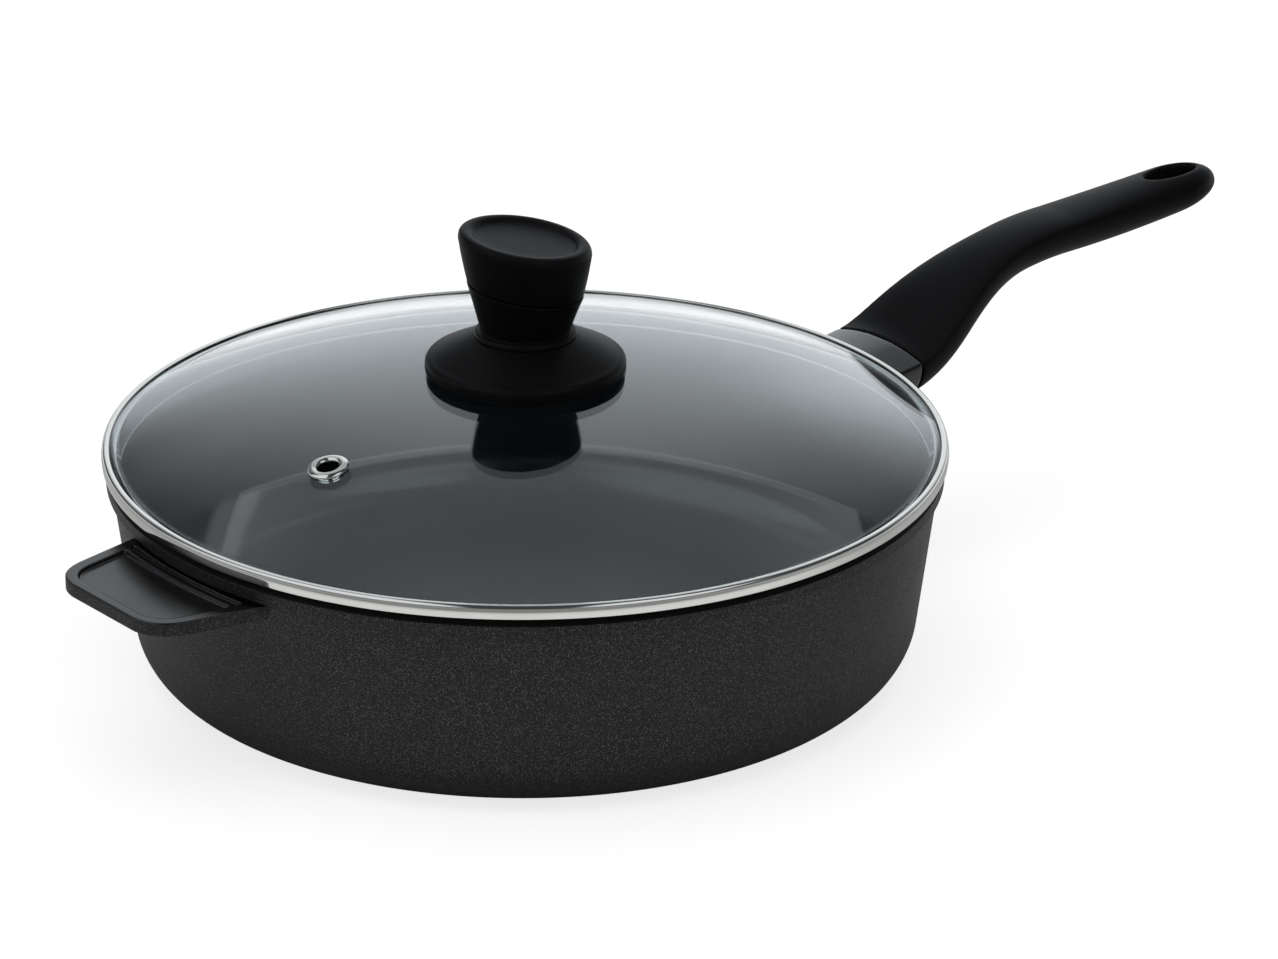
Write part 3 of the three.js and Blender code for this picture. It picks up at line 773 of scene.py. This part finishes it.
# Lid rim
# Half a millimetre of stainless strip, rolled round the glass edge and polished. Its short skirt hangs in
# the pan's mouth and keeps the lid in place.
def length(vector):
    """Length of a vector."""
    return vector.node("ShaderNodeVectorMath", {"operation": "LENGTH"}, {0: vector}, "Value")


lid_radius = 145.0
strip_thick = 0.5
leg_inner = lid_radius - 2.6
channel = lid_radius - strip_thick
skirt_outer = seat_radius - 0.55
skirt_inner = skirt_outer - strip_thick
skirt_bottom = lid_bottom - 3.2
channel_bottom = lid_bottom + strip_thick
glass_gap = 0.02
rim_crest = 78.88
crest_edge = lid_radius - 1.65
face_bottom = lid_bottom + 0.7
face_middle = 76.2
face_top = rim_crest - 1.5
face_bulge = 0.12
face_edge = lid_radius - face_bulge
rim_face = bow((face_edge, face_bottom), (lid_radius + face_bulge, face_middle), (face_edge, face_top), 10)
rim_shoulder = bow((face_edge, face_top), (lid_radius - 0.15, rim_crest), (crest_edge, rim_crest), 12)
rim_profile = rounded([
    (skirt_inner, skirt_bottom, 0.2),
    (skirt_outer, skirt_bottom, 0.2),
    (skirt_outer, lid_bottom, 0.3),
    (lid_radius - 0.25, lid_bottom, 0.5),
    *rim_face,
    *rim_shoulder[1:],
    (leg_inner, rim_crest - 0.2, 0.15),
    (leg_inner, dome(leg_inner) + glass_gap, 0.02),
    (channel, dome(channel) + glass_gap, 0.3),
    (channel, channel_bottom, 0.3),
    (skirt_inner, channel_bottom, 0.4),
])
lid_rim = new_piece("lid_rim_band", turned(steadied(rim_profile, margin=0.15), sides=288))

steel, place = new_finish("polished_steel")
across = length(place.node("ShaderNodeVectorMath", {"operation": "MULTIPLY"}, {0: place, 1: (1, 1, 0)}))
up = place.node("ShaderNodeSeparateXYZ", {}, {"Vector": place}, "Z")
turning = place.node("ShaderNodeCombineXYZ", {}, {"X": across, "Y": up})
lines = noise(turning, 0.12, 3)
cloud = noise(place, 9)
surface(place, {
    "Base Color": tint(cloud, (0.69, 0.68, 0.65), (0.77, 0.76, 0.73)),
    "Metallic": 1,
    "Roughness": 0.03 + 0.06 * lines + 0.02 * cloud,
    "Normal": bump(lines, 0.002, 0.4),
})
dress(lid_rim, steel)
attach(lid_rim, "lid")
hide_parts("lid_rim")


# Vent eyelet
# Drawn from thin stainless sheet: a round-topped flange on the glass, a barrel through it, and an edge
# curled outwards below to clinch it.
bore = 3.7
barrel = 4.4
eyelet_edge = 7
eyelet_seat = 0.3
eyelet_crest = 1.4
crest_outer = 5.9
crest_inner = 4.5
curl = 5.75
curl_top = -4.3
curl_bottom = -5.1
eyelet_profile = [(curl, curl_top), (barrel, curl_top), (barrel, eyelet_seat), (eyelet_edge, eyelet_seat)]
eyelet_profile += bow((eyelet_edge, eyelet_seat), (eyelet_edge, 1.1), (crest_outer, eyelet_crest), 10)[1:]
eyelet_profile += bow((crest_outer, eyelet_crest), (5, 1.6), (crest_inner, eyelet_crest), 10)[1:]
eyelet_profile += bow((crest_inner, eyelet_crest), (bore, 1.1), (bore, eyelet_seat), 10)[1:]
eyelet_profile += [(bore, curl_bottom), (5.2, curl_bottom), (5.6, curl_bottom + 0.15)]
eyelet_profile += [(curl, curl_top - 0.4)]
vent_eyelet = new_piece("vent_eyelet_ring", turned(eyelet_profile, sides=96))
vent_eyelet.data.transform(vent_axis)
vent_eyelet.data.set_sharp_from_angle(angle=math.radians(50))
dress(vent_eyelet, steel)
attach(vent_eyelet, "lid")
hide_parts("vent_eyelet")


# Knob
# Three mouldings in the handle's soft-touch plastic: a wide flange that keeps fingers off the glass, a stem
# with a bead at its foot, and a dished cap, which leans and meets the stem at a thin dark parting line.
crown = dome_centre + dome_radius
knob_gap = 0.3
hub_radius = 12
stem_radius = 17.5
flange_radius = 34.4
flange_rim = 2.6
flange_skin = 2.8
flange_bottom = dome(flange_radius - flange_rim) + knob_gap
flange_edge = flange_bottom + 4.5
flange_top = flange_edge + 8
slope = bow((31.6, flange_edge + 1.1), (25.95, flange_edge + 4), (stem_radius, flange_top), 32)
flange_profile = rounded([
    (screw_hole, crown + knob_gap),
    (hub_radius, crown + knob_gap, 0.5),
    (hub_radius, flange_top - flange_skin, 1),
    (30.3, flange_edge - flange_skin, 0.8),
    (flange_radius - flange_rim, flange_bottom, 0.3),
    (flange_radius, flange_bottom, 1.2),
    (flange_radius, flange_edge, 2.2),
    *slope[:-1],
    (stem_radius, flange_top, 0.4),
    (screw_hole, flange_top),
])
knob_flange = new_piece("knob_flange_disc", turned(steadied(flange_profile), sides=160))

stem_bottom = 115.95
stem_height = 16.8
level_foot = 2.2
parting = stem_bottom + stem_height
parting_radius = 20
lean = math.tan(math.radians(8.4))
lean_turn = math.radians(142)
high_side = Vector((math.cos(lean_turn), math.sin(lean_turn)))


def leaned(shape):
    """Tilts the rings of a knob piece: level at the foot, fully tilted from the parting line upwards."""
    for vertex in shape.verts:
        share = min(1, max(0, (vertex.co.z - stem_bottom - level_foot) / (stem_height - level_foot)))
        vertex.co.z += lean * share * vertex.co.xy.dot(high_side)
    return shape


bead_top = stem_bottom + 2.0
bead = bow((stem_radius, stem_bottom + 0.3), (stem_radius, bead_top + 0.1), (15.5, bead_top), 12)
waist = bow((15.4, bead_top), (17.5, (bead_top + parting) / 2), (parting_radius, parting), 24)
spigot_top = parting + 6
stem_profile = rounded([
    (0, stem_bottom),
    (stem_radius, stem_bottom, 0.15),
    *bead,
    *waist[1:-1],
    (parting_radius, parting, 0.35),
    (hub_radius, parting, 0.3),
    (hub_radius, spigot_top, 0.6),
    (0, spigot_top),
])
knob_stem = new_piece("knob_stem_waist", leaned(turned(steadied(stem_profile), sides=160)))

cap_bottom = parting + 0.6
cap_top = cap_bottom + 17.6
cap_foot = 19.9
cap_radius = 22.7
crest_radius = 20
dish_radius = 17.4
socket = 12.3
socket_top = parting + 6.3
brow_base = cap_top - 3.6
dish_floor = cap_top - 2.3
flank = bow((cap_foot, cap_bottom), (21.6, (cap_bottom + brow_base) / 2), (22.6, brow_base), 24)
brow = bow((cap_radius, brow_base + 0.4), (cap_radius, cap_top), (crest_radius, cap_top), 14)
dish_edge = bow((crest_radius, cap_top), (18.6, cap_top), (dish_radius, cap_top - 1.2), 10)
dish = bow((dish_radius, cap_top - 1.2), (16, dish_floor), (9, dish_floor), 14)
cap_profile = rounded([
    (0, socket_top),
    (socket, socket_top, 0.5),
    (socket, cap_bottom, 0.3),
    (cap_foot, cap_bottom, 0.35),
    *flank[1:],
    *brow,
    *dish_edge[1:],
    *dish[1:],
    (0, dish_floor),
])
knob_cap = new_piece("knob_cap_dished", leaned(turned(steadied(cap_profile), sides=160)))
for part, node in ((knob_flange, "knob_flange"), (knob_stem, "knob_stem"), (knob_cap, "knob_cap")):
    dress(part, soft_touch)
    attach(part, "lid")
    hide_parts(node)


# Knob fastening
# A pan-head screw from inside the lid pulls the knob down on to the glass, through a steel washer and a
# silicone one, into a brass bush moulded in the stem. The bush keeps its CAD shape, as nothing shows of it.
gasket_radius = 9
gasket_top = crown - glass_thick - knob_gap
washer_radius = 8
washer_top = gasket_top - 1.5
knob_screw_head = 5
knob_screw_shank = 2.5
knob_screw_end = stem_bottom + 10.7
head_top = washer_top - 1.2
head_bottom = head_top - 3
knob_gasket = new_piece("knob_gasket_ring", turned(steadied(rounded([
    (screw_hole, washer_top, 0.2),
    (gasket_radius, washer_top, 0.5),
    (gasket_radius, gasket_top, 0.5),
    (screw_hole, gasket_top, 0.2),
])), sides=96))
knob_washer = new_piece("knob_washer_ring", turned(steadied(rounded([
    (screw_hole, head_top, 0.15),
    (washer_radius, head_top, 0.35),
    (washer_radius, washer_top, 0.15),
    (screw_hole, washer_top, 0.15),
]), margin=0.15), sides=96))
head_curve = bow((0, head_bottom), (knob_screw_head, head_bottom), (knob_screw_head, head_top), 14)
knob_screw = new_piece("knob_screw_skin", turned(rounded([
    *head_curve[:-1],
    (knob_screw_head, head_top, 0.15),
    (knob_screw_shank, head_top, 0.2),
    (knob_screw_shank, knob_screw_end, 0.5),
    (0, knob_screw_end),
]), sides=64))
combine(knob_screw, cross_recess(head_top - 4, depth=2.8, reach=5, width=1.0), "DIFFERENCE")
knob_screw.data.set_sharp_from_angle(angle=math.radians(40))

silicone, place = new_finish("silicone")
cloud = noise(place, 2)
surface(place, {
    "Base Color": tint(cloud, (0.03, 0.03, 0.03), (0.045, 0.045, 0.045)),
    "Roughness": 0.62 + 0.16 * cloud,
    "Normal": bump(noise(place, 0.3), 0.01, 0.5),
})

brass, place = new_finish("brass")
cloud = noise(place, 2.5)
surface(place, {
    "Base Color": tint(cloud, (0.42, 0.27, 0.075), (0.50, 0.33, 0.10)),
    "Metallic": 1,
    "Roughness": 0.28 + 0.16 * cloud,
    "Normal": bump(noise(place, 0.25), 0.006, 0.5),
})
dress(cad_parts["knob_insert"], brass)
for part, node, slot, finish in (
    (knob_gasket, "knob_gasket", "silicone", silicone),
    (knob_washer, "knob_washer", "screw_steel", screw_steel),
    (knob_screw, "knob_screw", "screw_steel", screw_steel),
):
    dress(part, finish)
    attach(part, "lid")
    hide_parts(node)


# Studio
# A pale floor in a white room with side windows, darker overhead. The lid mirrors a dim panel, a large soft
# lamp that it doesn't mirror lights the pan, and the camera looks across the helper tab. Metres here.
sight_turn = math.radians(50)  # of the camera's sight line, from +X towards +Y
sight_tilt = math.radians(22.608)
sight = Vector((math.cos(sight_turn), math.sin(sight_turn), 0))
rightward = Vector((math.sin(sight_turn), -math.cos(sight_turn), 0))
upward = Vector((0, 0, 1))


def dot(vector, direction):
    """How far a vector goes in a direction."""
    settings = {"operation": "DOT_PRODUCT"}
    return vector.node("ShaderNodeVectorMath", settings, {0: vector, 1: direction}, "Value")


def placed(spot, *axes):
    """Matrix of a thing at a spot, with its own three axes."""
    return Matrix.Translation(spot) @ Matrix(axes).transposed().to_4x4()


floor_gap = 0.0004
floor = bpy.data.objects.new("floor", bpy.data.meshes.new("floor"))
sheet = bmesh.new()
bmesh.ops.create_circle(sheet, cap_ends=True, segments=96, radius=6)
sheet.to_mesh(floor.data)
sheet.free()
floor.location.z = -floor_gap
bpy.context.scene.collection.objects.link(floor)

# The floor glows for rays from the camera, through glass and off gloss, and its matte part keeps the shadow
paper, place = new_finish("floor_paper")
matte = place.node("ShaderNodeBsdfDiffuse", {}, {
    "Color": tint(noise(place, 60), (0.29, 0.29, 0.29), (0.31, 0.31, 0.31))
})
away = length(place)
reach = dot(place, sight)
# Off gloss the floor shows a painted pool of light round the pan and far behind it, with a painted shadow
# right under it
painted_pool = ramp(away, 0.6, 0.25) * ramp(away, 0.12, 0.17) * ramp(reach, 0.0, -0.2, 0.35, 1)
lit = 0.55 * painted_pool + 0.47 * ramp(reach, 0.2, 0.7)
shine = 0.78 * (ray_is(place, "Camera") + ray_is(place, "Transmission")) + lit * ray_is(place, "Glossy")
glow = place.node("ShaderNodeEmission", {}, {"Color": shine})
both = place.node("ShaderNodeAddShader", {}, {0: matte, 1: glow})
place.node("ShaderNodeOutputMaterial", {}, {"Surface": both})
dress(floor, paper)

# The room is drawn by a ray's way: how far it goes ahead of the camera, aside to the right, and up
room = bpy.data.worlds.new("room")
room.use_nodes = True
room.node_tree.nodes.clear()
way = Wire(room.node_tree.nodes.new("ShaderNodeTexCoord").outputs["Generated"])
height = way.node("ShaderNodeSeparateXYZ", {}, {"Vector": way}, "Z")
ahead = dot(way, sight)
aside = dot(way, rightward)
past_panel = ahead - 1.21 * height
panel_edge = aside + 0.525 * height
middle = ramp(aside * aside - 0.12 * ahead * ahead, 0.1, -0.12) * ramp(ahead, 0.1, 0.4)
backdrop = middle * ramp(past_panel, -0.012, 0.012)
horizon = ramp(height, 0.2, 0.0) * ramp(ahead, -0.5, 0.3, 0.3, 1)
left_window = ramp(aside, -0.2, -0.32) * ramp(ahead, 0.4, 0.1)
right_window = ramp(aside, 0.2, 0.32) * ramp(aside, 0.85, 0.7) * ramp(ahead, -0.15, -0.25)
windows = 0.85 * ramp(height, 0.1, 0.3) * (left_window + right_window)
walls = 0.14 * ramp(aside * aside, 0.04, 0.12) * ramp(ahead, 0.45, 0.6) * ramp(height, 0.3, 0.45)
right_glow = 0.35 * ramp(aside, 0.1, 0.24) * ramp(ahead, 0.3, 0.6) * ramp(height, 0.5, 0.25)
ceiling = 0.2 * ramp(height, 0.8, 0.92) * ramp(ahead, 0.3, 0.42)
strip = ramp(panel_edge * panel_edge, 0.0012, 0.0002) * ramp(past_panel, 0.02, -0.02)
panel_rim = 0.35 * strip * ramp(ahead, 0.2, 0.4)
white_parts = way.math("MAXIMUM", backdrop, horizon)
shade = 0.06 + 0.94 * white_parts + windows + walls + right_glow + ceiling + panel_rim
seen = ray_is(way, "Camera")
white = seen + ray_is(way, "Transmission") * ramp(height, 0.3, 0.15)
glow = way.node("ShaderNodeBackground", {}, {
    "Color": tint(seen, (0.95, 1, 1.04), (1, 1, 1)),
    "Strength": way.math("MAXIMUM", shade, white),
})
way.node("ShaderNodeOutputWorld", {}, {"Surface": glow})
bpy.context.scene.world = room


def lamp(name, width, depth, radiance, colour, spot):
    """Level panel of light, square to the sight line, at a spot of (right, forward, up) from the pan."""
    light = bpy.data.lights.new(name, "AREA")
    light.shape = "RECTANGLE"
    light.size = width
    light.size_y = depth
    light.energy = radiance * math.pi * width * depth
    light.color = colour
    hung = bpy.data.objects.new(name, light)
    right, forward, up = spot
    centre = right * rightward + forward * sight + up * upward
    hung.matrix_world = placed(centre, rightward, sight, upward)
    bpy.context.scene.collection.objects.link(hung)
    return hung


lamp("panel", width=2.06, depth=1.4, radiance=0.4, colour=(0.94, 1, 1.05), spot=(0.035, 1.35, 1.8))
soft_lamp = lamp("soft_lamp", width=2.6, depth=2.6, radiance=1.8, colour=(1, 1, 1), spot=(0, 0, 2.2))
soft_lamp.visible_glossy = False
soft_lamp.visible_transmission = False

lens = bpy.data.cameras.new("camera")
lens.sensor_width = 36  # millimetres, as the focal length
lens.lens = 140.85
camera = bpy.data.objects.new("camera", lens)
camera_spot = (-0.9915, -1.2421, 0.7240)
roll = 0.0051
level_up = upward * math.cos(sight_tilt) + sight * math.sin(sight_tilt)
camera_back = upward * math.sin(sight_tilt) - sight * math.cos(sight_tilt)
camera_right = rightward * math.cos(roll) + level_up * math.sin(roll)
camera_up = level_up * math.cos(roll) - rightward * math.sin(roll)
camera.matrix_world = placed(camera_spot, camera_right, camera_up, camera_back)
bpy.context.scene.collection.objects.link(camera)
bpy.context.scene.camera = camera
bpy.context.scene.view_settings.view_transform = "Standard"
